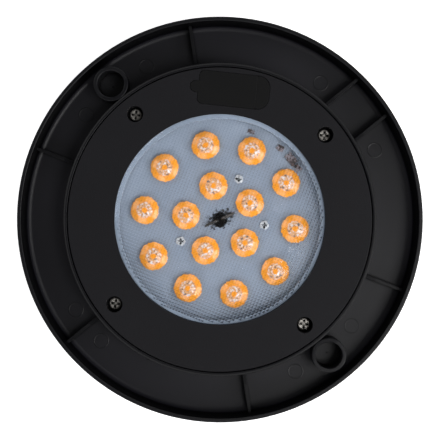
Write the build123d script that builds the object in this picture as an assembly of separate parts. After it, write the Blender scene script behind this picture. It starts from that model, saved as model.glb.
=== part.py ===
"""Floating solar pond light, lying on its solar side with its LED window up.

Millimetres, +Z up. The origin is the centre of the face that it rests on.
Angles are in degrees about +Z from +X; the charging flap is towards +Y.
"""
import math
import os

from build123d import *

# ---- driving dimensions ----
overall_diameter = 180.0
overall_height = 36.0

# float shell
rim_land = 1.8               # width of the rim's flat top
rim_taper = 0.4              # how far the rim's inner wall leans in at the channel floor
rim_outer_lean = 0.4         # how far the rim's outer wall leans in
channel_depth = 15.0
channel_corner = 2.5
skin = 2.2                   # thickness of the flange under the channel
flange_corner = 4.5
can_radius = 69.5            # outside of the can wall
can_wall = 1.6
crown_taper = 3.7            # how far the crown leans in, from flange to resting face
crown_base = 3.0             # height of the crown's rounded foot
crown_foot = 3.2             # round at the foot
crown_step = 0.7             # crown stands out from the can wall by this
crown_neck = 4.0             # height of the flange's rounded root
foot_width = 3.6             # from the crown's wall line in to the flat resting ring
bezel_thickness = 2.4
foot_chamfer = 1.3           # inside, where the crown meets the bezel
neck_inside = 3.0            # the can wall runs straight to this far below the flange
edge_round = 0.4
rib_thickness = 1.4
rib_drop = 9.0               # rib top below the rim
tall_rib_drop = 6.5
rib_angles = [105, 165, 225, 285, 345]
pair_angle = 45
pair_offset = 10.3
seal_shelf = 2.3             # width of the shelf under the cover's seal
seal_shelf_thickness = 1.8

# anchor sockets
socket_radius = 7.7
socket_bore = 5.9
socket_floor = 1.2
socket_foot = 1.2            # chamfer that clears the channel's rounded corner
socket_angles = [135, 315]
gate_radius = 0.4            # moulding gate's dimple in the cup's floor
gate_depth = 0.3

# bottom cover and its screws
cover_gap = 0.4
cover_thickness = 2.4
cover_seal_thickness = 1.2
cover_screw_circle = 120.0
cover_screw_angles = [45, 135, 225, 315]
counterbore_depth = 8.4
counterbore_gap = 0.8        # around the screw head
screw_tube_wall = 1.4
screw_seat = 2.2             # plastic under the screw head
cover_head_radius = 2.8
cover_shank_radius = 1.45
cover_screw_length = 11.0
pilot_gap = 0.05             # around a thread in its pilot hole
pilot_spare = 0.4            # pilot hole beyond the screw's tip
shank_gap = 0.25             # around a thread in a clearance hole

# window
window_radius = 46.8
window_gap = 0.1
lens_thickness = 2.4
lens_seal_thickness = 0.6
lens_shelf = 2.0             # width of the shelf that the window sits on
lens_shelf_thickness = 2.0
collar_wall = 2.0

# LED board
optic_gap = 1.0              # from the caps to the window
optic_height = 4.0
optic_diameter = 12.5
optic_hollow = 4.5           # hollow under the cap, over the LED chip
optic_hollow_gap = 0.5
emitter_size = 3.0
emitter_height = 0.7
board_thickness = 1.6
board_gap = 0.4
outer_ring_inset = 12.2      # outer LED ring, in from the board's edge
inner_ring_radius = 15.25
outer_count = 10
inner_count = 5
outer_start = -0.9
inner_start = 35.1
board_hole_radius = 3.3
board_screw_circle = 40.0
board_screw_angles = [71.1, -0.9, 215.1]
board_head_radius = 1.95
board_shank_radius = 1.1
board_screw_length = 4.4
board_hole_gap = 0.1         # around a thread in the board's screw hole
chip_inset = 4.2             # board parts, in from the board's edge

# carrier under the board
board_standoff = 0.6
standoff_radius = 2.8
carrier_hole_gap = 1.4       # the wire hole is this much wider in radius than the board's
carrier_thickness = 2.4
carrier_screw_angles = [30, 150, 270]
carrier_lug_radius = 3.2
carrier_head_radius = 2.0
carrier_shank_radius = 1.1
carrier_screw_length = 8.0

# charging flap and what is under it
flap_length = 31.6
flap_width = 14.8
flap_thickness = 1.8
flap_centre_y = 57.7
flap_gap = 0.15
flap_seat_gap = 0.1
flap_tab_corner = 2.4
flap_anchor_corner = 5.4
tab_length = 3.7
tab_width = 5.1
hinge_inset = 5.6            # hinge line, in from the anchored end
hinge_gap = 0.25
skirt_depth = 2.6
skirt_wall = 1.2
skirt_gap = 0.3
skirt_swing_gap = 0.8        # at the end that swings
pocket_depth = 8.5
pocket_wall = 1.4
pocket_floor = 1.6
pocket_inset_x = 2.2         # pocket wall, in from the flap's free end
pocket_width = 10.4
pocket_centre_y = 56.4
stud_shelf_thickness = 1.8   # thickening of the cover under the flap
pad_border = 1.6             # the thickening runs this far past the flap's fixed end
stud_radius = 1.5
stud_gap = 0.1
barb_gap = 0.06              # between the barb and the cover
barb_radius = 2.1
barb_height = 1.1

# port board
port_x = 2.6
port_length = 8.94
port_width = 3.2
port_wall = 0.3
port_corner = 1.59           # a little under half the width
port_base = 1.2              # thickness of the receptacle's closed end
tongue_length = 6.54
tongue_thickness = 0.7
tongue_sunk = 0.5            # tongue's tip below the mouth
port_gap = 0.25
port_proud = 0.4             # port mouth above the pocket's floor
port_board_thickness = 1.2
port_board_drop = 5.3        # board face under the pocket's floor
port_board_length = 27.6
port_board_width = 11.6
port_boss_radius = 2.1
port_head_radius = 1.7
port_shank_radius = 0.9
port_screw_length = 4.6

# power button
button_x = -6.6
button_radius = 2.4
button_gap = 0.1
button_proud = 1.2
button_flange_radius = 3.6
button_flange = 0.9
button_travel = 0.5
switch_size = 6.0
switch_height = 3.5
plunger_radius = 1.7
plunger_gap = 0.08
plunger_sunk = 0.9
switch_well = 1.6            # depth of the hole that the plunger slides in
flange_gap = 0.05            # between the button's flange and the pocket's floor
button_round = 0.5

# battery
cell_diameter = 18.4
cell_length = 65.0
cell_y = 22.0
cell_gap = 0.2
holder_crown = 0.9
holder_wall = 2.0
holder_lip = 4.5             # how far the holder reaches below the cell's centre
tab_size = 7.0
tab_thickness = 0.3
tab_drop = 1.0               # tab's centre below the cell's
ear_length = 7.0
ear_thickness = 2.0
ear_half_width = 4.0
holder_screw_grip = 1.8      # thread in the carrier
cradle_slot = 0.78           # width of the holder's slot under the cell, over the bore's
cradle_slot_drop = 1.5       # top of that slot, below the cell's centre

# control board
control_length = 44.0
control_depth = 24.0
control_thickness = 1.6
control_y = -24.0
control_post = 6.0           # from the carrier down to the board
control_post_radius = 2.4
control_screw_x = 18.5

# solar side
solar_radius = 57.8
solar_seat_gap = 0.2
solar_recess = 0.6           # window face above the resting plane
solar_glass = 2.0
solar_seal_thickness = 0.4
solar_shelf = 3.4
solar_shelf_thickness = 1.8
solar_wall = 1.6
backsheet_thickness = 1.1
solar_cell_thickness = 0.25
solar_cell_count = 6
solar_cell_gap = 1.2
solar_seal_inset = 0.4
solar_cell_inset = 1.0
backsheet_gap = 0.3

# wires
lead_radius = 0.6
lead_pitch = 1.8
lead_drop = 3.5              # battery leads leave this far below the cell's centre
lead_pad_radius = 7.2        # the LED board's solder pads
lead_pad_angle = 31

# ---- heights, from the resting plane ----
cover_bottom = overall_height - cover_thickness
channel_floor = overall_height - channel_depth
flange_bottom = channel_floor - skin
lens_bottom = overall_height - lens_thickness
lens_shelf_top = lens_bottom - lens_seal_thickness
lens_shelf_bottom = lens_shelf_top - lens_shelf_thickness
board_top = lens_bottom - optic_gap - optic_height
board_bottom = board_top - board_thickness
carrier_top = board_bottom - board_standoff
carrier_bottom = carrier_top - carrier_thickness
seal_shelf_top = cover_bottom - cover_seal_thickness
head_seat = overall_height - counterbore_depth
tube_bottom = head_seat - screw_seat
flap_bottom = overall_height - flap_thickness
recess_floor = flap_bottom - flap_seat_gap
stud_shelf = cover_bottom - stud_shelf_thickness
pocket_bottom = overall_height - pocket_depth
pocket_under = pocket_bottom - pocket_floor
port_board_top = pocket_under - port_board_drop
port_board_bottom = port_board_top - port_board_thickness
cell_z = carrier_bottom - holder_crown - cell_gap - cell_diameter / 2
control_top = carrier_bottom - control_post
control_bottom = control_top - control_thickness
solar_top = solar_recess + solar_glass
solar_shelf_under = solar_top + solar_seal_thickness
backsheet_bottom = solar_top + solar_cell_thickness
backsheet_top = backsheet_bottom + backsheet_thickness

# ---- radii and places ----
rim_radius = overall_diameter / 2
rim_inner = rim_radius - rim_land
can_inner = can_radius - can_wall
cover_radius = can_inner - cover_gap
shelf_inner = can_inner - seal_shelf
crown_bottom_radius = can_radius + crown_step - crown_taper
screw_ring = cover_screw_circle / 2
counterbore_radius = cover_head_radius + counterbore_gap
tube_radius = counterbore_radius + screw_tube_wall
lens_shelf_inner = window_radius - lens_shelf
collar_inner = window_radius - board_gap
collar_radius = window_radius + collar_wall
board_radius = collar_inner - board_gap
outer_ring_radius = board_radius - outer_ring_inset
carrier_screw_ring = collar_radius + carrier_lug_radius + 0.3
socket_ring = can_radius + socket_radius
hinge_x = flap_length / 2 - hinge_inset
pocket_left = -flap_length / 2 + pocket_inset_x
pocket_right = hinge_x - 1.2
pocket_mid = (pocket_left + pocket_right) / 2
pocket_low_y = pocket_centre_y - pocket_width / 2
pocket_high_y = pocket_centre_y + pocket_width / 2
port_board_mid = pocket_mid + 0.4
port_screw_inset = 2.1
stud_x = (hinge_x + flap_length / 2) / 2
opening_radius = solar_radius - solar_shelf
led_places = [(outer_ring_radius, outer_start + i * 360 / outer_count) for i in range(outer_count)]
led_places += [(inner_ring_radius, inner_start + i * 360 / inner_count) for i in range(inner_count)]


# ---- modelling allowances ----
over = 1.0                   # a cutter runs this far past the face that it cuts
join = 0.1                   # a boss runs this far into the wall that it stands on


# ---- helpers ----
def turned(points):
    """Turn a closed outline of (radius, height, corner round) about Z."""
    line = FilletPolyline(*[(r, z) for r, z, _ in points], radius=[c for _, _, c in points], close=True)
    return revolve(Plane.XZ * make_face(line), Axis.Z)


def ring(inner, outer, low, high):
    return turned([(inner, low, 0), (outer, low, 0), (outer, high, 0), (inner, high, 0)])


def rod(radius, low, high, x=0.0, y=0.0):
    return Pos(x, y, (low + high) / 2) * Cylinder(radius, high - low)


def block(x0, x1, y0, y1, z0, z1):
    centre = Pos((x0 + x1) / 2, (y0 + y1) / 2, (z0 + z1) / 2)
    return centre * Box(x1 - x0, y1 - y0, z1 - z0)


def polar(radius, angle):
    return radius * math.cos(math.radians(angle)), radius * math.sin(math.radians(angle))


def pan_screw(head_radius, shank_radius, length):
    """Phillips pan-head screw, head up, with the underside of its head at z = 0."""
    head_height = 0.7 * head_radius
    head = turned([
        (0, 0, 0), (head_radius, 0, 0), (head_radius, head_height, 0.35 * head_height), (0, head_height, 0)])
    shank = turned([
        (0, -length, 0), (0.45 * shank_radius, -length, 0),
        (shank_radius, -length + 1.2 * shank_radius, 0), (shank_radius, 0.1, 0), (0, 0.1, 0)])
    recess_depth = 0.65 * head_height
    slot = Box(1.4 * head_radius, 0.36 * head_radius, 2 * recess_depth)
    cross = Pos(0, 0, head_height) * (slot + Rot(0, 0, 90) * slot)
    return head + shank - cross


def flipped(shape):
    return Rot(180, 0, 0) * shape


def wire(points, radii, radius=lead_radius):
    """Round wire along straight runs joined by tangent arcs."""
    path = FilletPolyline(*points, radius=radii)
    start = Vector(*points[0])
    along = Vector(*points[1]) - start
    section = Plane(origin=start, z_dir=along) * Circle(radius)
    solid = sweep(section, path=path)
    ratio = solid.volume / (math.pi * radius ** 2 * path.length)
    print("wire length", round(path.length, 1), "bends", radii, "volume ratio", round(ratio, 4))
    return solid


def save(name, *solids):
    shape = solids[0] if len(solids) == 1 else Compound(children=list(solids))
    shape.label = name
    export_step(shape, f"parts/{name}.step")


# ---- float shell ----
def channel_ring():
    """The open channel between the can wall and the rim."""
    floor_radius = rim_inner - rim_taper
    return turned([
        (can_radius, channel_floor, 0), (floor_radius, channel_floor, channel_corner),
        (rim_inner, overall_height, 0), (rim_inner, overall_height + over, 0),
        (can_radius, overall_height + over, 0)])


def ribs():
    """Radial ribs, and one taller pair side by side."""
    length = rim_radius - can_inner
    middle = (rim_radius + can_inner) / 2
    low = channel_floor - skin
    shapes = []
    for angle in rib_angles:
        high = overall_height - rib_drop
        rib = Pos(middle, 0, (low + high) / 2) * Box(length, rib_thickness, high - low)
        shapes.append(Rot(0, 0, angle) * rib)
    for side in (-1, 1):
        high = overall_height - tall_rib_drop
        rib = Pos(middle, side * pair_offset, (low + high) / 2) * Box(length, rib_thickness, high - low)
        shapes.append(Rot(0, 0, pair_angle) * rib)
    return shapes


def float_shell():
    """Crown, flange, rim and can wall in one moulding."""
    inner_foot = crown_bottom_radius - skin
    seal_shelf_bottom = seal_shelf_top - seal_shelf_thickness
    solar_shelf_top = solar_shelf_under + solar_shelf_thickness
    solar_seat_radius = solar_radius + solar_seat_gap
    section = turned([
        (can_inner, overall_height, 0), (rim_radius, overall_height, 0),
        (rim_radius - rim_outer_lean, flange_bottom, flange_corner),
        (can_radius + channel_corner, flange_bottom, channel_corner),
        (can_radius + crown_step, flange_bottom - crown_neck, 0),
        (crown_bottom_radius, crown_base, crown_foot), (crown_bottom_radius - foot_width, 0, crown_foot),
        (solar_seat_radius, 0, 0), (solar_seat_radius, solar_shelf_under, 0),
        (opening_radius, solar_shelf_under, 0), (opening_radius, solar_shelf_top, 0),
        (solar_radius + solar_wall, solar_shelf_top, 0), (solar_radius + solar_wall, bezel_thickness, 0),
        (inner_foot - foot_chamfer, bezel_thickness, 0), (inner_foot, bezel_thickness + foot_chamfer, 0),
        (can_inner, flange_bottom - neck_inside, 0), (can_inner, seal_shelf_bottom - seal_shelf, 0),
        (shelf_inner, seal_shelf_bottom, 0), (shelf_inner, seal_shelf_top, 0),
        (can_inner, seal_shelf_top, 0)])
    cut = channel_ring()
    for rib in ribs():
        cut -= rib
    shell = section - cut
    top_edges = shell.edges().filter_by(GeomType.CIRCLE).group_by(Axis.Z)[-1]
    shell = fillet(top_edges, edge_round)
    for angle in cover_screw_angles:
        x, y = polar(screw_ring, angle)
        shell += rod(counterbore_radius, bezel_thickness - join, tube_bottom, x, y)
        shell -= rod(cover_shank_radius + pilot_gap, tube_bottom - cover_screw_length, tube_bottom, x, y)
    return shell - rod(solar_seat_radius, -over, solar_shelf_under)


def anchor_socket(angle):
    """Blind cup that stands in the channel against the can wall."""
    cup = turned([
        (0, channel_floor, 0), (socket_radius - socket_foot, channel_floor, 0),
        (socket_radius, channel_floor + socket_foot, 0),
        (socket_radius, overall_height, edge_round), (socket_bore, overall_height, edge_round),
        (socket_bore, channel_floor + socket_floor, 0), (0, channel_floor + socket_floor, 0)])
    cup -= rod(gate_radius, channel_floor + socket_floor - gate_depth, channel_floor + socket_floor)
    x, y = polar(socket_ring, angle)
    return Pos(x, y, 0) * cup


# ---- bottom cover ----
def flap_outline(grow):
    """Flap seen from above: small corners at the tab end, large ones at the anchor."""
    half_length = flap_length / 2 + grow
    half_width = flap_width / 2 + grow
    corners = [(-half_length, -half_width), (half_length, -half_width),
               (half_length, half_width), (-half_length, half_width)]
    radii = [flap_tab_corner, flap_anchor_corner, flap_anchor_corner, flap_tab_corner]
    body = make_face(FilletPolyline(*corners, radius=radii, close=True))
    tab_radius = tab_width / 2 + grow
    tab_centre = -flap_length / 2 - tab_length + tab_width / 2
    bridge_end = 1.0 - flap_length / 2
    bridge = Pos((tab_centre + bridge_end) / 2, 0) * Rectangle(bridge_end - tab_centre, 2 * tab_radius)
    tab = Pos(tab_centre, 0) * Circle(tab_radius) + bridge
    return Pos(0, flap_centre_y) * (body + tab)


def bottom_cover():
    """Cover with the window's collar, the screw tubes and the charging pocket."""
    plate = turned([
        (0, cover_bottom, 0), (cover_radius, cover_bottom, 0),
        (cover_radius, overall_height, edge_round), (0, overall_height, 0)])
    high = cover_bottom + join
    cover = plate + ring(collar_inner, collar_radius, carrier_top, high)
    cover += ring(lens_shelf_inner, window_radius + join, lens_shelf_bottom, lens_shelf_top)
    for angle in cover_screw_angles:
        x, y = polar(screw_ring, angle)
        cover += rod(tube_radius, tube_bottom, high, x, y)
    for angle in carrier_screw_angles:
        x, y = polar(carrier_screw_ring, angle)
        cover += rod(carrier_lug_radius, carrier_top, high, x, y)
    cover += block(
        pocket_left - pocket_wall, pocket_right + pocket_wall, pocket_low_y - pocket_wall,
        pocket_high_y + pocket_wall, pocket_under, high)
    pad = block(
        -flap_length / 2 - tab_length, flap_length / 2 + pad_border, flap_centre_y - flap_width / 2,
        cover_radius, stud_shelf, high)
    cover += pad & rod(shelf_inner - cover_gap, stud_shelf, high)
    for x in port_screw_places():
        cover += rod(port_boss_radius, port_board_top, pocket_under + join, x, pocket_centre_y)
    # openings and seats
    cover -= rod(window_radius, lens_shelf_top, overall_height + over)
    cover -= rod(lens_shelf_inner, lens_shelf_bottom - over, overall_height)
    for angle in cover_screw_angles:
        x, y = polar(screw_ring, angle)
        cover -= rod(counterbore_radius, head_seat, overall_height + over, x, y)
        cover -= rod(cover_shank_radius + shank_gap, tube_bottom - over, overall_height, x, y)
    for angle in carrier_screw_angles:
        x, y = polar(carrier_screw_ring, angle)
        depth = carrier_screw_length - carrier_thickness + pilot_spare
        cover -= rod(carrier_shank_radius + pilot_gap, carrier_top - join, carrier_top + depth, x, y)
    cover -= Pos(0, 0, recess_floor) * extrude(flap_outline(flap_gap), overall_height)
    cover -= block(pocket_left, pocket_right, pocket_low_y, pocket_high_y, pocket_bottom, overall_height)
    port_hole = RectangleRounded(port_length + 2 * port_gap, port_width + 2 * port_gap, port_width / 2)
    cover -= Pos(port_x, pocket_centre_y, pocket_under - over) * extrude(port_hole, pocket_floor + 2 * over)
    button_hole = button_radius + button_gap
    cover -= rod(button_hole, pocket_under - over, pocket_bottom + over, button_x, pocket_centre_y)
    cover -= rod(stud_radius + stud_gap, stud_shelf - over, overall_height, stud_x, flap_centre_y)
    pilot_top = port_board_top + port_screw_length - port_board_thickness + pilot_spare
    for x in port_screw_places():
        cover -= rod(port_shank_radius + pilot_gap, port_board_top - join, pilot_top, x, pocket_centre_y)
    return cover


# ---- window and LED board ----
def window_lens():
    return rod(window_radius - window_gap, lens_bottom, overall_height)


def lens_gasket():
    return ring(lens_shelf_inner, window_radius - window_gap, lens_shelf_top, lens_bottom)


def cover_gasket():
    return ring(shelf_inner, cover_radius, seal_shelf_top, cover_bottom)


def led_board():
    board = rod(board_radius, board_bottom, board_top)
    board -= rod(board_hole_radius, board_bottom - over, board_top + over)
    for angle in board_screw_angles:
        x, y = polar(board_screw_circle / 2, angle)
        board -= rod(board_shank_radius + board_hole_gap, board_bottom - over, board_top + over, x, y)
    return board


def led_optic(radius, angle):
    """Domed cap with a hollow over its LED chip."""
    cap_radius = optic_diameter / 2
    shoulder = 0.45 * optic_height
    rise = optic_height - shoulder
    dome_radius = (cap_radius ** 2 + rise ** 2) / (2 * rise)
    dome = Pos(0, 0, optic_height - dome_radius) * Sphere(dome_radius)
    cap = rod(cap_radius, 0, optic_height) & dome
    cap -= rod(optic_hollow / 2, -over, emitter_height + optic_hollow_gap)
    x, y = polar(radius, angle)
    return Pos(x, y, board_top) * cap


def led_emitters():
    chips = []
    for radius, angle in led_places:
        x, y = polar(radius, angle)
        chip = Box(emitter_size, emitter_size, emitter_height)
        chips.append(Pos(x, y, board_top + emitter_height / 2) * Rot(0, 0, angle) * chip)
    return chips


def board_chips():
    """Small parts near the board's edge."""
    sizes = [(76.4, 3.2, 2.0, 0.6), (56.0, 3.2, 2.5, 0.8), (46.5, 5.5, 3.5, 1.1), (39.8, 3.2, 2.5, 0.8)]
    chips = []
    for angle, length, width, height in sizes:
        x, y = polar(board_radius - chip_inset, angle)
        chips.append(Pos(x, y, board_top + height / 2) * Rot(0, 0, angle + 90) * Box(length, width, height))
    return chips


def led_carrier():
    """Plate under the board, screwed to the cover's collar, with posts for the control board."""
    plate = rod(collar_radius, carrier_bottom, carrier_top)
    plate -= rod(board_hole_radius + carrier_hole_gap, carrier_bottom - over, carrier_top + over)
    for angle in carrier_screw_angles:
        x, y = polar(carrier_screw_ring, angle)
        lug = block(
            board_screw_circle / 2, carrier_screw_ring, -carrier_lug_radius, carrier_lug_radius,
            carrier_bottom, carrier_top)
        plate += Rot(0, 0, angle) * lug
        plate += rod(carrier_lug_radius, carrier_bottom, carrier_top, x, y)
        plate -= rod(carrier_shank_radius + shank_gap, carrier_bottom - over, carrier_top + over, x, y)
    tip = board_top - board_screw_length
    for angle in board_screw_angles:
        x, y = polar(board_screw_circle / 2, angle)
        plate += rod(standoff_radius, carrier_top, board_bottom, x, y)
        plate -= rod(board_shank_radius + pilot_gap, tip - join, board_top, x, y)
    pilot = port_shank_radius + pilot_gap
    for x in (-control_screw_x, control_screw_x):
        plate += rod(control_post_radius, control_top, carrier_bottom + join, x, control_y)
        plate -= rod(pilot, control_top - over, control_top + port_screw_length, x, control_y)
    for x in holder_screw_places():
        plate -= rod(pilot, carrier_bottom - over, carrier_bottom + holder_screw_grip + join, x, cell_y)
    return plate


# ---- battery ----
def holder_screw_places():
    reach = cell_length / 2 + tab_thickness + holder_wall + ear_length / 2
    return (-reach, reach)


def battery_cell():
    can = Rot(0, 90, 0) * Cylinder(cell_diameter / 2, cell_length)
    can = fillet(can.edges(), 0.8)
    return Pos(0, cell_y, cell_z) * can


def battery_holder():
    """Snap-in cradle that hangs under the carrier, with an ear at each end."""
    bore = cell_diameter / 2 + cell_gap
    half_width = bore + holder_wall
    half_length = cell_length / 2 + tab_thickness + holder_wall
    low = cell_z - holder_lip
    cradle = block(
        -half_length, half_length, cell_y - half_width, cell_y + half_width, low, carrier_bottom)
    cradle -= Pos(0, cell_y, cell_z) * Rot(0, 90, 0) * Cylinder(bore, cell_length + 2 * tab_thickness)
    slot_half = cradle_slot * bore
    cradle -= block(
        -half_length - over, half_length + over, cell_y - slot_half, cell_y + slot_half, low - over,
        cell_z - cradle_slot_drop)
    lead_notch = cell_z - lead_drop + 2 * lead_radius
    for side in (-1, 1):
        inner = side * (cell_length / 2 + tab_thickness)
        outer = side * (half_length + over)
        cradle -= block(min(inner, outer), max(inner, outer), 0, 2 * cell_y, 0, lead_notch)
    ear_bottom = carrier_bottom - ear_thickness
    for side in (-1, 1):
        inner = side * (half_length - join)
        outer = side * (half_length + ear_length)
        cradle += block(
            min(inner, outer), max(inner, outer), cell_y - ear_half_width, cell_y + ear_half_width,
            ear_bottom, carrier_bottom)
    for x in holder_screw_places():
        cradle -= rod(port_shank_radius + shank_gap, ear_bottom - over, carrier_bottom + over, x, cell_y)
    return cradle


def battery_tabs():
    """Spot-welded nickel tabs, one on each end of the cell."""
    tabs = []
    for side in (-1, 1):
        x = side * (cell_length + tab_thickness) / 2
        tabs.append(Pos(x, cell_y, cell_z - tab_drop) * Box(tab_thickness, tab_size, tab_size))
    return tabs


# ---- control board ----
def control_board():
    board = block(
        -control_length / 2, control_length / 2, control_y - control_depth / 2, control_y + control_depth / 2,
        control_bottom, control_top)
    for x in (-control_screw_x, control_screw_x):
        board -= rod(port_shank_radius + shank_gap, control_bottom - over, control_top + over, x, control_y)
    return board


def control_chips():
    """Charge controller, LED driver, inductor and capacitor on the board's lower face."""
    sizes = [(-8, 4, 5, 4, 1.6), (4, 4, 5, 4, 1.6), (-8, -5, 6, 6, 2.8), (5, -5, 4, 3, 1.4)]
    chips = []
    for x, y, length, width, height in sizes:
        chips.append(Pos(x, control_y + y, control_bottom - height / 2) * Box(length, width, height))
    return chips


# ---- charging port ----
def port_screw_places():
    reach = port_board_length / 2 - port_screw_inset
    return (port_board_mid - reach, port_board_mid + reach)


def port_board():
    half_length = port_board_length / 2
    half_width = port_board_width / 2
    board = block(
        port_board_mid - half_length, port_board_mid + half_length, pocket_centre_y - half_width,
        pocket_centre_y + half_width, port_board_bottom, port_board_top)
    hole = port_shank_radius + shank_gap
    for x in port_screw_places():
        board -= rod(hole, port_board_bottom - over, port_board_top + over, x, pocket_centre_y)
    return board


def charge_port():
    """Upright USB-C receptacle with its contact tongue."""
    top = pocket_bottom + port_proud
    height = top - port_board_top
    inner_length = port_length - 2 * port_wall
    inner_width = port_width - 2 * port_wall
    outer = RectangleRounded(port_length, port_width, port_corner)
    inner = RectangleRounded(inner_length, inner_width, port_corner - port_wall)
    shell = extrude(outer, height) - Pos(0, 0, port_base) * extrude(inner, height)
    tongue_height = height - tongue_sunk
    tongue = Pos(0, 0, tongue_height / 2) * Box(tongue_length, tongue_thickness, tongue_height)
    return Pos(port_x, pocket_centre_y, port_board_top) * (shell + tongue)


def tact_switch():
    body = Pos(0, 0, switch_height / 2) * Box(switch_size, switch_size, switch_height)
    body -= rod(plunger_radius + plunger_gap, switch_height - switch_well, switch_height + over)
    return Pos(button_x, pocket_centre_y, port_board_top) * body


def switch_plunger():
    low = port_board_top + switch_height - plunger_sunk
    high = pocket_under - flange_gap - button_flange
    return rod(plunger_radius, low, high, button_x, pocket_centre_y)


def power_button():
    """Cap that is held in the pocket's floor by its flange."""
    flange_top = pocket_under - flange_gap
    cap = turned([
        (0, flange_top - button_flange, 0), (button_flange_radius, flange_top - button_flange, 0),
        (button_flange_radius, flange_top, 0), (button_radius, flange_top, 0),
        (button_radius, pocket_bottom + button_proud, button_round), (0, pocket_bottom + button_proud, 0)])
    return Pos(button_x, pocket_centre_y, 0) * cap


# ---- rubber flap ----
def flap_plate(low_x, high_x):
    plate = Pos(0, 0, flap_bottom) * extrude(flap_outline(0), flap_thickness)
    window = block(low_x, high_x, 0, 2 * flap_centre_y, 0, 2 * overall_height)
    return plate & window


def port_flap():
    """Swinging part of the flap, with the skirt that seals the pocket."""
    flap = flap_plate(-overall_diameter, hinge_x - hinge_gap)
    left = pocket_left + skirt_swing_gap
    right = pocket_right - skirt_gap
    half = pocket_width / 2 - skirt_gap
    low = flap_bottom - skirt_depth
    skirt = block(left, right, pocket_centre_y - half, pocket_centre_y + half, low, flap_bottom + join)
    hollow_half = half - skirt_wall
    skirt -= block(
        left + skirt_wall, right - skirt_wall, pocket_centre_y - hollow_half, pocket_centre_y + hollow_half,
        low - over, flap_bottom)
    return flap + skirt


def flap_anchor():
    """Fixed end of the flap, held by a push-in stud with a barb."""
    anchor = flap_plate(hinge_x + hinge_gap, overall_diameter)
    barb_bottom = stud_shelf - barb_gap - barb_height
    anchor += rod(stud_radius, barb_bottom, flap_bottom + join, stud_x, flap_centre_y)
    barb = turned([
        (0, 0, 0), (stud_radius, 0, 0), (barb_radius, 0.5 * barb_height, 0),
        (barb_radius, barb_height, 0), (0, barb_height, 0)])
    anchor += Pos(stud_x, flap_centre_y, barb_bottom) * barb
    return anchor


# ---- solar side ----
def solar_window():
    return rod(solar_radius, solar_recess, solar_top)


def solar_seal():
    return ring(opening_radius + solar_seal_inset, solar_radius, solar_top, solar_shelf_under)


def solar_cells():
    """Pie-shaped cells with a narrow gap between them."""
    disc = rod(opening_radius - solar_cell_inset, solar_top, backsheet_bottom)
    for i in range(solar_cell_count // 2):
        disc -= Rot(0, 0, i * 360 / solar_cell_count) * Box(overall_diameter, solar_cell_gap, overall_height)
    return disc.solids()


def solar_backsheet():
    return rod(opening_radius - backsheet_gap, backsheet_bottom, backsheet_top)


# ---- wires ----
def led_leads():
    """Two wires up through the board's centre hole, each bent over to its solder pad."""
    leads = []
    start_y = control_y + control_depth / 2 - 2.0
    run = control_top + 3.4
    peak = board_top + 2.6
    for side in (-1, 1):
        start_x = 2.5 * side
        x, y = polar(side * 1.1, lead_pad_angle)
        pad_x, pad_y = polar(side * lead_pad_radius, lead_pad_angle)
        points = [
            (start_x, start_y, control_top), (start_x, start_y, run), (x, y, run), (x, y, peak),
            (pad_x, pad_y, board_top + lead_radius + 0.05)]
        leads.append(wire(points, [2.9, 2.9, 1.6]))
    return leads


def battery_leads():
    """From each end of the cell to the control board."""
    leads = []
    z = cell_z - lead_drop
    end_y = control_y + 9.0
    for side in (-1, 1):
        x = side * (cell_length / 2 + tab_thickness + lead_radius)
        end_x = side * 19.5
        points = [(x, cell_y + 1.0, z), (x, 2.0, z), (end_x, end_y, z), (end_x, end_y, control_bottom)]
        leads.append(wire(points, [9.0, 4.5]))
    return leads


def solar_leads():
    """From the back of the solar panel up to the control board."""
    leads = []
    middle = (backsheet_top + control_bottom) / 2
    start_y = control_y - 22.0
    end_y = control_y - 10.5
    for side in (-1, 1):
        x = side * lead_pitch
        points = [
            (x, start_y, backsheet_top), (x, start_y, middle), (x, end_y, middle), (x, end_y, control_bottom)]
        leads.append(wire(points, [4.0, 4.0]))
    return leads


def port_leads():
    """From the port board round the end of the battery to the control board."""
    leads = []
    start_x = port_board_mid - port_board_length / 2 + 5.0
    start_y = pocket_centre_y - 4.0
    end_y = control_y + 2.5
    for i in range(2):
        x = start_x + i * lead_pitch
        end_x = -16.0 + i * lead_pitch
        low = control_bottom - 3.2 - 1.5 * i
        points = [
            (x, start_y, port_board_bottom), (x, start_y, low), (-37.0, 44.5, low), (-47.0, 22.0, low),
            (-43.0, -3.0, low), (end_x, end_y, low), (end_x, end_y, control_bottom)]
        leads.append(wire(points, [3.4, 9.0, 9.0, 9.0, 2.4]))
    return leads


# ---- screws ----
def screws_at(places, screw):
    return [Pos(x, y, z) * screw for x, y, z in places]


def cover_screws():
    screw = pan_screw(cover_head_radius, cover_shank_radius, cover_screw_length)
    return screws_at([(*polar(screw_ring, a), head_seat) for a in cover_screw_angles], screw)


def board_screws():
    screw = pan_screw(board_head_radius, board_shank_radius, board_screw_length)
    return screws_at([(*polar(board_screw_circle / 2, a), board_top) for a in board_screw_angles], screw)


def carrier_screws():
    screw = flipped(pan_screw(carrier_head_radius, carrier_shank_radius, carrier_screw_length))
    return screws_at([(*polar(carrier_screw_ring, a), carrier_bottom) for a in carrier_screw_angles], screw)


def small_screws(places, length):
    return screws_at(places, flipped(pan_screw(port_head_radius, port_shank_radius, length)))


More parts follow.
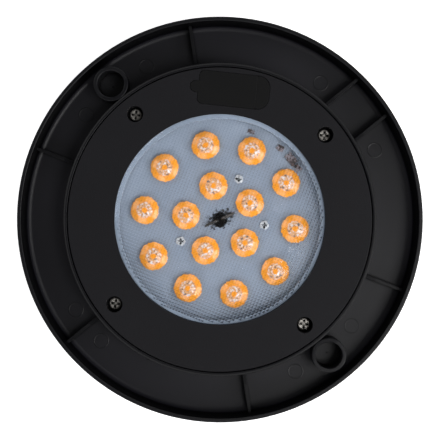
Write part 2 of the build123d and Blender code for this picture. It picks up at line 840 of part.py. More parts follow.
def main():
    os.makedirs("parts", exist_ok=True)
    save("float_shell", float_shell())
    for letter, angle in zip("ab", socket_angles):
        save(f"anchor_socket_{letter}", anchor_socket(angle))
    save("bottom_cover", bottom_cover())
    save("cover_gasket", cover_gasket())
    save("cover_screws", *cover_screws())
    save("window_lens", window_lens())
    save("lens_gasket", lens_gasket())
    save("led_board", led_board())
    for number, (radius, angle) in enumerate(led_places, start=1):
        save(f"led_optic_{number:02d}", led_optic(radius, angle))
    save("led_emitters", *led_emitters())
    save("board_chips", *board_chips())
    save("board_screws", *board_screws())
    save("led_leads", *led_leads())
    save("led_carrier", led_carrier())
    save("carrier_screws", *carrier_screws())
    save("battery_cell", battery_cell())
    save("battery_holder", battery_holder())
    save("battery_tabs", *battery_tabs())
    holder_places = [(x, cell_y, carrier_bottom - ear_thickness) for x in holder_screw_places()]
    save("holder_screws", *small_screws(holder_places, ear_thickness + holder_screw_grip))
    save("battery_leads", *battery_leads())
    save("control_board", control_board())
    save("control_chips", *control_chips())
    control_places = [(x, control_y, control_bottom) for x in (-control_screw_x, control_screw_x)]
    save("control_screws", *small_screws(control_places, port_screw_length))
    save("port_board", port_board())
    save("charge_port", charge_port())
    port_places = [(x, pocket_centre_y, port_board_bottom) for x in port_screw_places()]
    save("port_screws", *small_screws(port_places, port_screw_length))
    save("port_leads", *port_leads())
    save("tact_switch", tact_switch())
    save("switch_plunger", switch_plunger())
    save("power_button", power_button())
    save("port_flap", port_flap())
    save("flap_anchor", flap_anchor())
    save("solar_window", solar_window())
    save("solar_seal", solar_seal())
    save("solar_cells", *solar_cells())
    save("solar_backsheet", solar_backsheet())
    save("solar_leads", *solar_leads())


main()
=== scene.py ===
"""Looks of the floating pond light: materials, prismatic window, flap strap, floor, light and camera."""
import math
import random

import bmesh
import bpy
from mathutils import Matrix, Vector


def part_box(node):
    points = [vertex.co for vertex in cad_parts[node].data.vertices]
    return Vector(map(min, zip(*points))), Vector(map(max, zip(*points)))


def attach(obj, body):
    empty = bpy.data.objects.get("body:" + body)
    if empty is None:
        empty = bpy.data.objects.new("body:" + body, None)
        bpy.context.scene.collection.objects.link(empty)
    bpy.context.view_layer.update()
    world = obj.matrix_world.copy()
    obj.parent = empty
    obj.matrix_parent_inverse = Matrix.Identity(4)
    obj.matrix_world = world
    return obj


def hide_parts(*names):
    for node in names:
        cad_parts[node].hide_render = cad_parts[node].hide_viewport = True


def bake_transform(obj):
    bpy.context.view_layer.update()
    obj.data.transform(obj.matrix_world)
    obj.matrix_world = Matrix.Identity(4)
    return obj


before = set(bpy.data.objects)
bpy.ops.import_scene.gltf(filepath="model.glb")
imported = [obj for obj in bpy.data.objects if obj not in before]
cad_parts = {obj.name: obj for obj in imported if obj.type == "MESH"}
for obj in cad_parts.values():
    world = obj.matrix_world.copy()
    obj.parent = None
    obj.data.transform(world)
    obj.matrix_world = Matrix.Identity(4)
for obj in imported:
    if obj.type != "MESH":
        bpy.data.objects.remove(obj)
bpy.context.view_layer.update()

MM = 0.001
scene = bpy.context.scene
shell_low, shell_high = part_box("float_shell")
TOP = shell_high.z                      # the rim's plane
RIM = (shell_high.x - shell_low.x) / 2  # the rim's radius

# ---- camera ----
CAMERA_TURN = 6.2       # degrees that the light is turned clockwise in the view
CAMERA_DISTANCE = 0.6
RIM_SHARE = 0.9235      # the rim's width over the picture's
CAMERA_RIGHT = 0.05 * MM    # camera off the light's axis
CAMERA_DOWN = 0.2 * MM


def add_camera():
    data = bpy.data.cameras.new("camera")
    camera = bpy.data.objects.new("camera", data)
    scene.collection.objects.link(camera)
    turn = math.radians(CAMERA_TURN)
    x = CAMERA_RIGHT * math.cos(turn) + CAMERA_DOWN * math.sin(turn)
    y = CAMERA_RIGHT * math.sin(turn) - CAMERA_DOWN * math.cos(turn)
    camera.location = (x, y, TOP + CAMERA_DISTANCE)
    camera.rotation_euler = (0, 0, turn)
    data.sensor_width = 36
    data.lens = data.sensor_width * CAMERA_DISTANCE * RIM_SHARE / (2 * RIM)
    data.clip_start = 0.01
    scene.camera = camera


# ---- node helpers ----
class Nodes:
    """Short calls for building one material's node tree."""

    def __init__(self, name):
        self.material = bpy.data.materials.new(name)
        self.material.use_nodes = True
        self.tree = self.material.node_tree
        self.tree.nodes.clear()
        self.output = self.add("ShaderNodeOutputMaterial")

    def add(self, kind, settings=None, **inputs):
        node = self.tree.nodes.new(kind)
        for key, value in (settings or {}).items():
            setattr(node, key, value)
        for key, value in inputs.items():
            self.set(node, key.replace("_", " "), value)
        return node

    def set(self, node, key, value):
        socket = node.inputs[int(key)] if key.isdigit() else node.inputs[key]
        if isinstance(value, bpy.types.NodeSocket):
            self.tree.links.new(value, socket)
        else:
            socket.default_value = value

    def math(self, operation, a, b=0.0, clamp=False):
        node = self.add("ShaderNodeMath", {"operation": operation, "use_clamp": clamp})
        self.set(node, "0", a)
        self.set(node, "1", b)
        return node.outputs[0]

    def vector_math(self, operation, a, b=(0, 0, 0)):
        node = self.add("ShaderNodeVectorMath", {"operation": operation})
        self.set(node, "0", a)
        self.set(node, "1", b)
        scalar = operation in ("LENGTH", "DISTANCE", "DOT_PRODUCT")
        return node.outputs["Value" if scalar else "Vector"]

    def place(self):
        return self.add("ShaderNodeTexCoord").outputs["Object"]

    def face_normal(self):
        return self.add("ShaderNodeTexCoord").outputs["Normal"]

    def flatten(self, vector):
        """The vector without its height."""
        return self.vector_math("MULTIPLY", vector, (1, 1, 0))

    def from_axis(self, where):
        return self.vector_math("LENGTH", self.flatten(where))

    def opposite(self, value):
        return self.math("SUBTRACT", 1.0, value)

    def noise(self, scale, detail=2.0, where=None, roughness=0.5):
        node = self.add("ShaderNodeTexNoise", Scale=scale, Detail=detail, Roughness=roughness)
        self.set(node, "Vector", where or self.place())
        return node.outputs["Fac"]

    def ramp(self, value, *stops):
        node = self.add("ShaderNodeValToRGB", Fac=value)
        elements = node.color_ramp.elements
        while len(elements) < len(stops):
            elements.new(0.5)
        for element, (position, colour) in zip(elements, stops):
            element.position = position
            element.color = colour if len(colour) == 4 else (*colour, 1)
        return node.outputs["Color"]

    def mix(self, factor, a, b):
        node = self.add("ShaderNodeMix", {"data_type": "RGBA"})
        self.set(node, "0", factor)
        self.set(node, "6", a if isinstance(a, bpy.types.NodeSocket) else (*a, 1))
        self.set(node, "7", b if isinstance(b, bpy.types.NodeSocket) else (*b, 1))
        return node.outputs[2]

    def spread(self, value, low, high):
        node = self.add("ShaderNodeMapRange", Value=value)
        node.inputs["To Min"].default_value = low
        node.inputs["To Max"].default_value = high
        return node.outputs[0]

    def bump(self, height, distance, strength=1.0, normal=None):
        node = self.add("ShaderNodeBump", Height=height, Distance=distance, Strength=strength)
        if normal is not None:
            self.set(node, "Normal", normal)
        return node.outputs["Normal"]

    def soft_edge(self, radius):
        return self.add("ShaderNodeBevel", {"samples": 4}, Radius=radius).outputs["Normal"]

    def finish(self, shader):
        self.tree.links.new(shader, self.output.inputs["Surface"])
        return self.material


def principled(nodes, **inputs):
    shader = nodes.add("ShaderNodeBsdfPrincipled")
    for key, value in inputs.items():
        nodes.set(shader, key.replace("_", " "), value)
    return shader.outputs[0]


def paint(material, *names):
    """Give CAD nodes a material."""
    for name in names:
        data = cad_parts[name].data
        data.materials.clear()
        data.materials.append(material)


# ---- materials ----
CHANNEL_HEIGHT = 23.5 * MM  # the channel's floor and its corner round are below this
CAN_REACH = 75.0 * MM       # the can's wall is inside this radius
CAN_EDGE = 69.0 * MM        # its inner edge, with a painted highlight
CAN_EDGE_WIDTH = 0.5 * MM
RIM_WALL = 83.5 * MM        # what stands outside this radius is the rim
UPRIGHT = 0.6               # faces whose normal rises less than this stand upright
MARK_RING = 77.0 * MM       # moulding marks on the channel's floor
MARK_RADIUS = 3.25 * MM
MARK_LINE = 0.3 * MM
MARK_ANGLES = [30.3, 59.7, 121.8, 148.2, 218.2, 231.8, 302.7, 327.3]
GATE_RING = 71.2 * MM       # the dot that the moulding gate left
GATE_ANGLE = 249
GATE_RADIUS = 0.5 * MM
CORNER_SHADE_REACH = 2.2 * MM       # painted shade darkens corners from this far


def mark_lines(nodes, where):
    """One on the rings that the ejector pins left, and on the gate's dot."""
    flat = nodes.flatten(where)
    total = None
    for angle in MARK_ANGLES:
        a = math.radians(angle)
        centre = (MARK_RING * math.cos(a), MARK_RING * math.sin(a), 0)
        distance = nodes.vector_math("DISTANCE", flat, centre)
        off = nodes.math("ABSOLUTE", nodes.math("SUBTRACT", distance, MARK_RADIUS))
        line = nodes.math("SUBTRACT", 1.0, nodes.math("DIVIDE", off, MARK_LINE), clamp=True)
        total = line if total is None else nodes.math("MAXIMUM", total, line)
    a = math.radians(GATE_ANGLE)
    centre = (GATE_RING * math.cos(a), GATE_RING * math.sin(a), 0)
    dot = nodes.math("LESS_THAN", nodes.vector_math("DISTANCE", flat, centre), GATE_RADIUS)
    return nodes.math("MAXIMUM", total, dot)


def rim_wall_shade(nodes, where):
    """One on the rim's inner wall, which gets painted shade."""
    normal = nodes.face_normal()
    tilt = nodes.vector_math("LENGTH", nodes.vector_math("MULTIPLY", normal, (0, 0, 1)))
    upright = nodes.math("LESS_THAN", tilt, UPRIGHT)
    outside = nodes.math("GREATER_THAN", nodes.from_axis(where), RIM_WALL)
    inward = nodes.math("LESS_THAN", nodes.vector_math("DOT_PRODUCT", normal, nodes.flatten(where)), 0.0)
    return nodes.math("MULTIPLY", nodes.math("MULTIPLY", upright, outside), inward)


def shell_plastic():
    """Black moulded plastic with a soft gloss, faint flow and moulding marks."""
    n = Nodes("shell_plastic")
    where = n.place()
    broad = n.noise(28, 3, where)
    fine = n.noise(2600, 2, where)
    colour = n.mix(broad, (0.0026, 0.0026, 0.0036), (0.0042, 0.0042, 0.0056))
    height = n.add("ShaderNodeSeparateXYZ", Vector=where).outputs["Z"]
    deep = n.math("LESS_THAN", height, CHANNEL_HEIGHT)
    colour = n.mix(deep, colour, n.mix(broad, (0.0088, 0.0085, 0.0118), (0.0118, 0.0114, 0.0155)))
    marks = mark_lines(n, where)
    colour = n.mix(n.math("MULTIPLY", marks, 0.75), colour, (0.001, 0.001, 0.001))
    # painted shade: the colour darkens in corners and creases, and on the rim's inner wall
    corner_shade = n.add("ShaderNodeAmbientOcclusion", {"samples": 8, "only_local": True}, Distance=CORNER_SHADE_REACH)
    open_air = n.ramp(corner_shade.outputs["AO"], (0.35, (0.1, 0.1, 0.1)), (0.75, (1, 1, 1)))
    wall = rim_wall_shade(n, where)
    # painted shade on the rim's inner wall
    open_air = n.math("MULTIPLY", open_air, n.opposite(n.math("MULTIPLY", wall, 0.75)))
    colour = n.mix(open_air, (0.0005, 0.0005, 0.0005), colour)
    rough = n.math("ADD", n.spread(broad, 0.36, 0.44), n.math("MULTIPLY", marks, -0.1))
    grain = n.bump(fine, 0.02 * MM, 0.5, n.soft_edge(0.25 * MM))
    normal = n.bump(marks, 0.06 * MM, 0.8, grain)
    radius = n.from_axis(where)
    # painted highlight: a thin pale ring on the can's inner top edge
    can_top = n.math("MULTIPLY", n.math("LESS_THAN", radius, CAN_REACH), n.opposite(deep))
    off = n.math("DIVIDE", n.math("ABSOLUTE", n.math("SUBTRACT", radius, CAN_EDGE)), CAN_EDGE_WIDTH)
    can_edge_highlight = n.math("MULTIPLY", n.math("SUBTRACT", 1.0, off, clamp=True), can_top)
    colour = n.mix(can_edge_highlight, colour, (0.021, 0.021, 0.022))
    shine = n.math("ADD", n.math("MULTIPLY", deep, 0.1), n.math("MULTIPLY", can_top, -0.1))
    shine = n.math("MULTIPLY", n.math("ADD", 0.26, shine), open_air)
    return n.finish(principled(
        n, Base_Color=colour, Roughness=rough, Specular_IOR_Level=shine, Normal=normal))


COLLAR_PAINT = 46.3 * MM    # the collar is painted pale inside this radius


def cover_plastic():
    """Black plastic with a fine spark-eroded texture, painted pale round the LED board."""
    n = Nodes("cover_plastic")
    where = n.place()
    grain = n.noise(1500, 3, where, 0.6)
    broad = n.noise(35, 2, where)
    colour = n.mix(broad, (0.0042, 0.004, 0.0054), (0.0062, 0.006, 0.0078))
    inside = n.math("LESS_THAN", n.from_axis(where), COLLAR_PAINT)
    colour = n.mix(inside, colour, (0.27, 0.31, 0.37))
    rough = n.spread(grain, 0.5, 0.68)
    normal = n.bump(grain, 0.09 * MM, 0.9, n.soft_edge(0.2 * MM))
    return n.finish(principled(n, Base_Color=colour, Roughness=rough, Specular_IOR_Level=0.19, Normal=normal))


def flap_rubber():
    n = Nodes("flap_rubber")
    where = n.place()
    fine = n.noise(900, 3, where)
    colour = n.mix(n.noise(60, 2, where), (0.0018, 0.0018, 0.002), (0.0032, 0.0032, 0.0034))
    normal = n.bump(fine, 0.03 * MM, 0.6, n.soft_edge(0.35 * MM))
    return n.finish(principled(
        n, Base_Color=colour, Roughness=n.spread(fine, 0.5, 0.62), Specular_IOR_Level=0.16,
        Normal=normal))


def seal_rubber():
    n = Nodes("seal_rubber")
    fine = n.noise(1200, 3)
    colour = n.mix(fine, (0.008, 0.008, 0.008), (0.02, 0.02, 0.02))
    normal = n.bump(fine, 0.03 * MM, 0.5)
    return n.finish(principled(n, Base_Color=colour, Roughness=n.spread(fine, 0.6, 0.8), Normal=normal))


def pale_silicone():
    """Grey translucent seal under the window, seen through its edge."""
    n = Nodes("pale_silicone")
    fine = n.noise(500, 3)
    colour = n.mix(fine, (0.42, 0.48, 0.57), (0.48, 0.55, 0.64))
    normal = n.bump(fine, 0.03 * MM, 0.4)
    return n.finish(principled(
        n, Base_Color=colour, Roughness=n.spread(fine, 0.35, 0.5), Subsurface_Weight=0.3,
        Subsurface_Radius=(0.001, 0.001, 0.001), Normal=normal))


def inner_plastic():
    n = Nodes("inner_plastic")
    fine = n.noise(700, 3)
    colour = n.mix(fine, (0.012, 0.012, 0.013), (0.022, 0.022, 0.024))
    normal = n.bump(fine, 0.03 * MM, 0.5, n.soft_edge(0.2 * MM))
    return n.finish(principled(n, Base_Color=colour, Roughness=n.spread(fine, 0.5, 0.65), Normal=normal))


def screw_steel(name, bright, dull, metallic):
    """Plated steel with turning lines, a little dirt and painted shade in its recess."""
    n = Nodes(name)
    where = n.place()
    fine = n.noise(1800, 3, where)
    dirt = n.noise(420, 3, where)
    colour = n.mix(n.spread(dirt, -0.6, 1.2), bright, dull)
    # painted shade: the screw's recess darkens to near black
    recess = n.add("ShaderNodeAmbientOcclusion", {"samples": 8, "only_local": True}, Distance=0.9 * MM)
    recess_shade = n.ramp(recess.outputs["AO"], (0.7, (1, 1, 1)), (0.9, (0, 0, 0)))
    colour = n.mix(recess_shade, colour, (0.004, 0.004, 0.004))
    normal = n.bump(fine, 0.02 * MM, 0.4, n.soft_edge(0.3 * MM))
    rough = n.spread(fine, 0.3, 0.5)
    return n.finish(principled(
        n, Base_Color=colour, Metallic=metallic, Roughness=rough, Normal=normal))


def nickel():
    n = Nodes("nickel")
    fine = n.noise(2200, 2)
    colour = n.mix(fine, (0.52, 0.5, 0.45), (0.66, 0.64, 0.58))
    normal = n.bump(fine, 0.01 * MM, 0.4, n.soft_edge(0.1 * MM))
    return n.finish(principled(
        n, Base_Color=colour, Metallic=1.0, Roughness=n.spread(fine, 0.2, 0.35), Normal=normal))


def clear_window(name, tint, roughness, prisms=False):
    """Clear plastic that lets lamps reach what lies behind it."""
    n = Nodes(name)
    # with prisms, the glass's colour carries painted shade on the prisms' faces
    colour = prism_shade(n, tint) if prisms else (*tint, 1)
    glass = n.add("ShaderNodeBsdfGlass", Color=colour, Roughness=roughness, IOR=1.49)
    fine = n.noise(300, 2)
    n.set(glass, "Normal", n.bump(fine, 0.01 * MM, 0.15))
    through = n.add("ShaderNodeBsdfTransparent", Color=(*tint, 1))
    path = n.add("ShaderNodeLightPath")
    mixed = n.add("ShaderNodeMixShader", Fac=path.outputs["Is Shadow Ray"])
    n.set(mixed, "1", glass.outputs[0])
    n.set(mixed, "2", through.outputs[0])
    return n.finish(mixed.outputs[0])


PRISM_PITCH = 1.38 * MM
PRISM_HEIGHT = 0.057 * MM
PRISM_TURN = -16            # degrees, the rows' direction
PRISM_SCATTER = 0.04 * MM   # how far the tips stray from the middle
PRISM_SLOPE = 2 * PRISM_HEIGHT / PRISM_PITCH
SHADE_FROM = 30.0 * MM      # the prisms start to darken at this radius
SHADE_TO = 46.0 * MM
SHADE_AZIMUTH = -58         # degrees, where the edge is darkest
FACE_DIRECTION = (0.8, -0.6, 0)
FACE_SHADE = 0.14            # painted shade on each prism's faces that look one way, everywhere
EDGE_SHADE = 0.16            # painted shade over the prisms at the edge
EDGE_FACE_SHADE = 0.68       # and more painted shade on the faces that look outwards there


def edge_zone(nodes, where, outward):
    """Grows from nothing to one towards the darkest part of the window's edge."""
    a = math.radians(SHADE_AZIMUTH)
    side = nodes.vector_math("DOT_PRODUCT", outward, (math.cos(a), math.sin(a), 0))
    half = nodes.math("ADD", nodes.math("MULTIPLY", side, 0.5), 0.5)
    side = nodes.ramp(half, (0.2, (0.08, 0.08, 0.08)), (0.8, (1, 1, 1)))
    beyond = nodes.math("SUBTRACT", nodes.from_axis(where), SHADE_FROM)
    edge = nodes.math("DIVIDE", beyond, SHADE_TO - SHADE_FROM, clamp=True)
    return nodes.math("MULTIPLY", nodes.math("MULTIPLY", edge, edge), side)


def facing(nodes, normal, direction):
    """One on the prisms' faces that look in a direction, nothing on the others."""
    lean = nodes.vector_math("DOT_PRODUCT", normal, direction)
    return nodes.ramp(lean, (0.2 * PRISM_SLOPE, (0, 0, 0)), (0.6 * PRISM_SLOPE, (1, 1, 1)))


def prism_shade(nodes, tint):
    """Painted shade on the prisms: faces that look outwards are darker, most so at one edge."""
    where = nodes.place()
    normal = nodes.face_normal()
    outward = nodes.vector_math("NORMALIZE", nodes.flatten(where))
    outer = nodes.math("MULTIPLY", facing(nodes, normal, outward), EDGE_FACE_SHADE)
    shade = nodes.math("ADD", outer, EDGE_SHADE)
    shade = nodes.math("MULTIPLY", edge_zone(nodes, where, outward), shade)
    steady = nodes.math("MULTIPLY", facing(nodes, normal, FACE_DIRECTION), FACE_SHADE)
    shade = nodes.math("ADD", shade, steady)
    upper = nodes.math("GREATER_THAN", nodes.vector_math("DOT_PRODUCT", normal, (0, 0, 1)), 0.1)
    return nodes.mix(nodes.math("MULTIPLY", shade, upper), tint, (0.02, 0.025, 0.035))


BOARD_RADIUS = 45.0 * MM    # painted light: the board is made paler towards this radius, against the shade near the collar
STAIN_ANGLE = 31
STAIN_LENGTH = 7.6 * MM
STAIN_WIDTH = 4.6 * MM


def optic_cap():
    """Lens cap over an orange phosphor, with a pale ring round a warm centre."""
    n = Nodes("optic_cap")
    generated = n.add("ShaderNodeTexCoord").outputs["Generated"]
    radius = n.math("MULTIPLY", n.from_axis(n.vector_math("SUBTRACT", generated, (0.5, 0.5, 0))), 2.0)
    where = n.place()
    ripple = n.math("MULTIPLY", n.math("SUBTRACT", n.noise(700, 2, where), 0.5), 0.14)
    colour = n.ramp(
        n.math("ADD", radius, ripple),
        (0.0, (0.75, 0.25, 0.01)), (0.16, (0.75, 0.26, 0.015)), (0.23, (0.58, 0.29, 0.12)),
        (0.52, (0.6, 0.3, 0.14)), (0.62, (0.75, 0.26, 0.02)), (0.72, (0.74, 0.265, 0.012)),
        (0.95, (0.75, 0.27, 0.018)), (1.0, (0.66, 0.29, 0.06)))
    pale = n.ramp(radius, (0.17, (0, 0, 0)), (0.24, (1, 1, 1)), (0.52, (1, 1, 1)), (0.62, (0, 0, 0)))
    speck = n.noise(900, 2, where)
    white = n.math("MULTIPLY", pale, n.ramp(speck, (0.53, (0, 0, 0)), (0.6, (1, 1, 1))))
    dark = n.math("MULTIPLY", pale, n.ramp(speck, (0.36, (1, 1, 1)), (0.42, (0, 0, 0))))
    colour = n.mix(white, colour, (0.62, 0.56, 0.56))
    colour = n.mix(dark, colour, (0.12, 0.1, 0.1))
    fine = n.noise(500, 2, where)
    normal = n.bump(fine, 0.02 * MM, 0.3)
    return n.finish(principled(
        n, Base_Color=colour, Roughness=n.spread(fine, 0.12, 0.25), Coat_Weight=0.6, Coat_Roughness=0.05,
        Normal=normal))


def phosphor():
    n = Nodes("phosphor")
    fine = n.noise(2500, 2)
    colour = n.mix(fine, (0.9, 0.42, 0.03), (0.98, 0.55, 0.08))
    return n.finish(principled(n, Base_Color=colour, Roughness=n.spread(fine, 0.5, 0.7)))


def wire_stain(nodes, where):
    """Dark specks of flux and solder round the wire hole and out to both pads."""
    turned = nodes.add("ShaderNodeVectorRotate", {"rotation_type": "Z_AXIS"}, Vector=where)
    turned.inputs["Angle"].default_value = math.radians(-STAIN_ANGLE)
    scaled = nodes.vector_math("MULTIPLY", turned.outputs[0], (1 / STAIN_LENGTH, 1 / STAIN_WIDTH, 0))
    far = nodes.vector_math("LENGTH", scaled)
    speck = nodes.noise(800, 2, where)
    kept = nodes.math("SUBTRACT", speck, nodes.math("MULTIPLY", far, 0.36))
    return nodes.ramp(kept, (0.2, (0, 0, 0)), (0.3, (1, 1, 1)))


def board_white():
    """White solder mask with a cool cast, faint copper areas under it and painted light towards its edge."""
    n = Nodes("board_white")
    where = n.place()
    fine = n.noise(900, 3, where)
    areas = n.noise(70, 1, where)
    edge = n.ramp(areas, (0.47, (0, 0, 0)), (0.5, (1, 1, 1)))
    colour = n.mix(edge, (0.175, 0.21, 0.268), (0.187, 0.222, 0.28))
    colour = n.mix(n.spread(fine, 0.0, 0.25), colour, (0.26, 0.29, 0.33))
    # painted light: paler towards the edge, where the collar shades the board
    reach = n.math("DIVIDE", n.from_axis(where), BOARD_RADIUS)
    painted_edge_light = n.ramp(reach, (0.72, (0, 0, 0)), (0.96, (1, 1, 1)))
    colour = n.mix(n.math("MULTIPLY", painted_edge_light, 0.9), colour, (0.27, 0.315, 0.385))
    colour = n.mix(wire_stain(n, where), colour, (0.012, 0.012, 0.014))
    normal = n.bump(edge, 0.02 * MM, 0.4)
    return n.finish(principled(n, Base_Color=colour, Roughness=n.spread(fine, 0.3, 0.42), Normal=normal))


def board_green():
    n = Nodes("board_green")
    where = n.place()
    areas = n.ramp(n.noise(160, 1, where), (0.48, (0, 0, 0)), (0.5, (1, 1, 1)))
    colour = n.mix(areas, (0.006, 0.06, 0.025), (0.012, 0.1, 0.04))
    fine = n.noise(900, 2, where)
    normal = n.bump(areas, 0.03 * MM, 0.5)
    return n.finish(principled(n, Base_Color=colour, Roughness=n.spread(fine, 0.25, 0.4), Normal=normal))


def chip_black(name, dark, light):
    n = Nodes(name)
    fine = n.noise(1400, 3)
    colour = n.mix(fine, dark, light)
    normal = n.bump(fine, 0.02 * MM, 0.5, n.soft_edge(0.1 * MM))
    return n.finish(principled(n, Base_Color=colour, Roughness=n.spread(fine, 0.4, 0.6), Normal=normal))


def chip_brown():
    """Small brown parts, speckled with flux."""
    n = Nodes("chip_brown")
    where = n.place()
    speck = n.noise(1100, 2, where)
    colour = n.ramp(
        speck, (0.42, (0.012, 0.008, 0.008)), (0.5, (0.1, 0.055, 0.05)), (0.58, (0.22, 0.2, 0.22)))
    normal = n.bump(speck, 0.02 * MM, 0.5, n.soft_edge(0.1 * MM))
    return n.finish(principled(n, Base_Color=colour, Roughness=n.spread(speck, 0.4, 0.6), Normal=normal))


def cell_wrap():
    n = Nodes("cell_wrap")
    fine = n.noise(260, 3)
    colour = n.mix(fine, (0.01, 0.06, 0.2), (0.014, 0.08, 0.25))
    normal = n.bump(fine, 0.04 * MM, 0.3)
    return n.finish(principled(n, Base_Color=colour, Roughness=n.spread(fine, 0.2, 0.32), Normal=normal))


def lead_insulation(name, plus, minus):
    """The lead on one side of the part is the plus colour, the other the minus."""
    n = Nodes(name)
    where = n.place()
    split = n.math("GREATER_THAN", n.add("ShaderNodeSeparateXYZ", Vector=where).outputs["X"], 0.0)
    fine = n.noise(1500, 2, where)
    colour = n.mix(split, minus, plus)
    colour = n.mix(n.spread(fine, 0.0, 0.2), colour, (0.2, 0.16, 0.13))
    normal = n.bump(fine, 0.02 * MM, 0.4)
    return n.finish(principled(n, Base_Color=colour, Roughness=n.spread(fine, 0.4, 0.55), Normal=normal))


def silicon():
    """Dark blue cells with fine fingers and three wide conductors."""
    n = Nodes("silicon")
    where = n.place()
    axes = n.add("ShaderNodeSeparateXYZ", Vector=where)
    finger = n.math("PINGPONG", axes.outputs["Y"], 1.0 * MM)
    finger = n.math("LESS_THAN", finger, 0.09 * MM)
    bar = n.math("PINGPONG", n.math("ADD", axes.outputs["X"], 8 * MM), 13 * MM)
    bar = n.math("LESS_THAN", bar, 0.55 * MM)
    lines = n.math("MAXIMUM", finger, bar)
    crystal = n.noise(60, 2, where)
    colour = n.mix(crystal, (0.004, 0.007, 0.03), (0.008, 0.014, 0.055))
    colour = n.mix(lines, colour, (0.36, 0.37, 0.38))
    rough = n.math("ADD", n.spread(crystal, 0.2, 0.3), n.math("MULTIPLY", lines, 0.15))
    return n.finish(principled(n, Base_Color=colour, Roughness=rough))


def floor_material():
    n = Nodes("floor_white")
    fine = n.noise(40, 3)
    colour = n.mix(fine, (0.93, 0.93, 0.93), (0.95, 0.95, 0.95))
    return n.finish(principled(
        n, Base_Color=colour, Roughness=n.spread(fine, 0.75, 0.85), Emission_Color=(1, 1, 1, 1),
        Emission_Strength=0.7))


# ---- window ----
LAND = 0.35 * MM            # flat ring round the prisms
EDGE_CUT = 0.3 * MM         # polished chamfer of the window's edge
LAND_GAP = 0.1 * MM         # from the prisms to the land's slope
LAND_SLOPE = 0.15 * MM
LAND_SUNK = 0.02 * MM
RING_SIDES = 256


def mesh_object(name, bm, material, body):
    data = bpy.data.meshes.new(name)
    bm.to_mesh(data)
    bm.free()
    data.materials.append(material)
    piece = bpy.data.objects.new(name, data)
    scene.collection.objects.link(piece)
    if body:
        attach(piece, body)
    return piece


def circle_points(radius, z, sides):
    turn = 2 * math.pi / sides
    return [(radius * math.cos(i * turn), radius * math.sin(i * turn), z) for i in range(sides)]


def bridge(bm, lower, upper):
    count = len(lower)
    for i in range(count):
        j = (i + 1) % count
        bm.faces.new((lower[i], lower[j], upper[j], upper[i]))


def prism_window(material):
    """Clear disc whose face is a field of low four-sided prisms inside a flat land."""
    low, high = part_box("window_lens")
    radius = (high.x - low.x) / 2
    valley = high.z - PRISM_HEIGHT
    field = radius - LAND - EDGE_CUT
    half = PRISM_PITCH / 2
    reach = int(field / PRISM_PITCH)
    bm = bmesh.new()
    corner = {}
    scatter = random.Random(1)
    cos, sin = math.cos(math.radians(PRISM_TURN)), math.sin(math.radians(PRISM_TURN))

    def turned(x, y):
        return x * cos - y * sin, x * sin + y * cos

    def valley_point(i, j):
        if (i, j) not in corner:
            corner[i, j] = bm.verts.new((*turned(i * PRISM_PITCH - half, j * PRISM_PITCH - half), valley))
        return corner[i, j]

    for i in range(-reach, reach + 1):
        for j in range(-reach, reach + 1):
            far = math.hypot(abs(i * PRISM_PITCH) + half, abs(j * PRISM_PITCH) + half)
            if far > field:
                continue
            around = ((i, j), (i + 1, j), (i + 1, j + 1), (i, j + 1))
            base = [valley_point(*place) for place in around]
            stray = [scatter.uniform(-PRISM_SCATTER, PRISM_SCATTER) for _ in range(2)]
            tip = bm.verts.new((*turned(i * PRISM_PITCH + stray[0], j * PRISM_PITCH + stray[1]), high.z))
            for k in range(4):
                bm.faces.new((base[k], base[(k + 1) % 4], tip))
    outline = [e for e in bm.edges if e.is_boundary]
    land = [bm.verts.new(p) for p in circle_points(field + LAND_GAP, valley, RING_SIDES)]
    land_edges = [bm.edges.new((land[i], land[(i + 1) % RING_SIDES])) for i in range(RING_SIDES)]
    bmesh.ops.triangle_fill(bm, edges=outline + land_edges, use_beauty=True, use_dissolve=False)
    rings = [land]
    profile = (
        (field + LAND_GAP + LAND_SLOPE, high.z - LAND_SUNK), (radius - EDGE_CUT, high.z - LAND_SUNK),
        (radius, high.z - EDGE_CUT), (radius, low.z))
    for ring_radius, z in profile:
        rings.append([bm.verts.new(p) for p in circle_points(ring_radius, z, RING_SIDES)])
    for inner, outer in zip(rings, rings[1:]):
        bridge(bm, inner, outer)
    bm.faces.new(list(reversed(rings[-1])))
    bmesh.ops.recalc_face_normals(bm, faces=bm.faces)
    piece = mesh_object("prism_window", bm, material, "lamp")
    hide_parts("window_lens")
    return piece


# ---- flap strap ----
STRAP_STEPS = 16
STRAP_THICKNESS = 0.7 * MM
STRAP_REACH = 1.0 * MM      # onto the flap and onto its fixed end
STRAP_SUNK = 0.03 * MM
STRAP_INSET = 0.4 * MM      # its sides in from the flap's


def flap_strap(material):
    """Thin flat web of the same rubber between the flap and its fixed end."""
    flap_low, flap_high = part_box("port_flap")
    anchor_low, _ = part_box("flap_anchor")
    x0 = flap_high.x - STRAP_REACH
    x1 = anchor_low.x + STRAP_REACH
    y0 = flap_low.y + STRAP_INSET
    y1 = flap_high.y - STRAP_INSET
    top = TOP - STRAP_SUNK
    bm = bmesh.new()
    rows = []
    for i in range(STRAP_STEPS + 1):
        x = x0 + (x1 - x0) * i / STRAP_STEPS
        low = top - STRAP_THICKNESS
        rows.append([bm.verts.new(p) for p in ((x, y0, low), (x, y1, low), (x, y1, top), (x, y0, top))])
    for first, second in zip(rows, rows[1:]):
        bridge(bm, first, second)
    bm.faces.new(rows[0])
    bm.faces.new(rows[-1])
    bmesh.ops.recalc_face_normals(bm, faces=bm.faces)
    piece = mesh_object("flap_strap", bm, material, None)
    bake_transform(piece)
    return piece


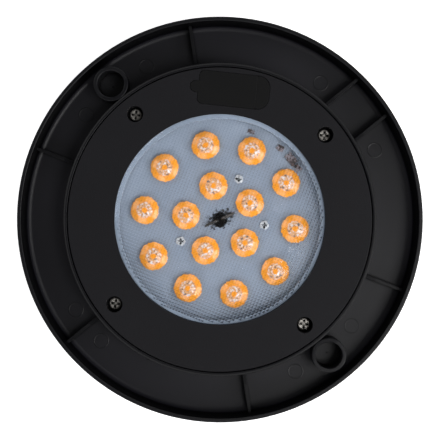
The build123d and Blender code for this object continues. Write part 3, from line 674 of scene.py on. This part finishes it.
# ---- stage ----
FLOOR_REACH = 8.0           # metres from the middle to the floor's edge
FLOOR_GAP = 0.02 * MM
SKY = 0.11                  # strength of the even light from all round
SOFTBOX = (0.8, 0.6)
SPOT = (0.42, 0.42)
LAMPS = [                   # name, azimuth in the view, elevation, distance, size, watts
    ("key", -22, 33, 1.1, SOFTBOX, 8.0),
    ("high", -28, 66, 1.2, SPOT, 3.0),
    ("fill", 150, 27, 1.1, SOFTBOX, 4.0),
    ("front", -110, 33, 1.1, SOFTBOX, 4.5),
    ("back", 70, 27, 1.1, SOFTBOX, 3.6)]


def add_floor():
    bm = bmesh.new()
    bmesh.ops.create_grid(bm, x_segments=8, y_segments=8, size=FLOOR_REACH)
    data = bpy.data.meshes.new("floor")
    bm.to_mesh(data)
    bm.free()
    data.materials.append(floor_material())
    floor = bpy.data.objects.new("floor", data)
    scene.collection.objects.link(floor)
    floor.location.z = shell_low.z - FLOOR_GAP


def add_lamp(name, azimuth, elevation, distance, size, power):
    """Soft lamp aimed at the middle, azimuth about +Z from +X."""
    data = bpy.data.lights.new(name, "AREA")
    data.shape = "RECTANGLE"
    data.size, data.size_y = size
    data.energy = power
    lamp = bpy.data.objects.new(name, data)
    scene.collection.objects.link(lamp)
    a, e = math.radians(azimuth), math.radians(elevation)
    direction = Vector((math.cos(a) * math.cos(e), math.sin(a) * math.cos(e), math.sin(e)))
    lamp.location = direction * distance
    lamp.rotation_euler = direction.to_track_quat("Z", "Y").to_euler()


def add_light():
    world = bpy.data.worlds.new("studio")
    scene.world = world
    world.use_nodes = True
    background = world.node_tree.nodes["Background"]
    background.inputs["Color"].default_value = (1, 1, 1, 1)
    background.inputs["Strength"].default_value = SKY
    for name, azimuth, elevation, distance, size, power in LAMPS:
        add_lamp(name, azimuth + CAMERA_TURN, elevation, distance, size, power)
    scene.view_settings.view_transform = "Standard"


# ---- put it together ----
def finish_nodes():
    shell = shell_plastic()
    steel = screw_steel("screw_steel", (0.7, 0.67, 0.62), (0.4, 0.37, 0.34), 0.85)
    seal = seal_rubber()
    inner = inner_plastic()
    rubber = flap_rubber()
    green = board_green()
    dark = chip_black("chip_black", (0.008, 0.008, 0.009), (0.02, 0.02, 0.022))
    leads = lead_insulation("lead_insulation", (0.3, 0.012, 0.01), (0.012, 0.012, 0.013))
    optics = [f"led_optic_{number:02d}" for number in range(1, 16)]
    paint(shell, "float_shell", "anchor_socket_a", "anchor_socket_b")
    paint(cover_plastic(), "bottom_cover")
    paint(steel, "cover_screws", "carrier_screws", "holder_screws", "control_screws", "port_screws")
    paint(screw_steel("screw_bright", (0.5, 0.51, 0.53), (0.38, 0.39, 0.4), 0.2), "board_screws")
    paint(seal, "cover_gasket", "solar_seal")
    paint(pale_silicone(), "lens_gasket")
    paint(inner, "led_carrier", "battery_holder")
    paint(rubber, "port_flap", "flap_anchor", "power_button")
    paint(board_white(), "led_board", "solar_backsheet")
    paint(green, "control_board", "port_board")
    paint(dark, "control_chips", "tact_switch", "switch_plunger")
    paint(chip_brown(), "board_chips")
    paint(nickel(), "battery_tabs", "charge_port")
    paint(cell_wrap(), "battery_cell")
    paint(leads, "battery_leads", "solar_leads", "port_leads")
    paint(lead_insulation("led_lead_insulation", (0.008, 0.006, 0.005), (0.004, 0.004, 0.004)), "led_leads")
    paint(optic_cap(), *optics)
    paint(phosphor(), "led_emitters")
    paint(silicon(), "solar_cells")
    paint(clear_window("solar_clear", (0.97, 0.98, 0.98), 0.03), "solar_window")
    prism_window(clear_window("window_clear", (0.98, 0.99, 1.0), 0.02, prisms=True))
    flap_strap(rubber)


add_camera()
finish_nodes()
add_floor()
add_light()
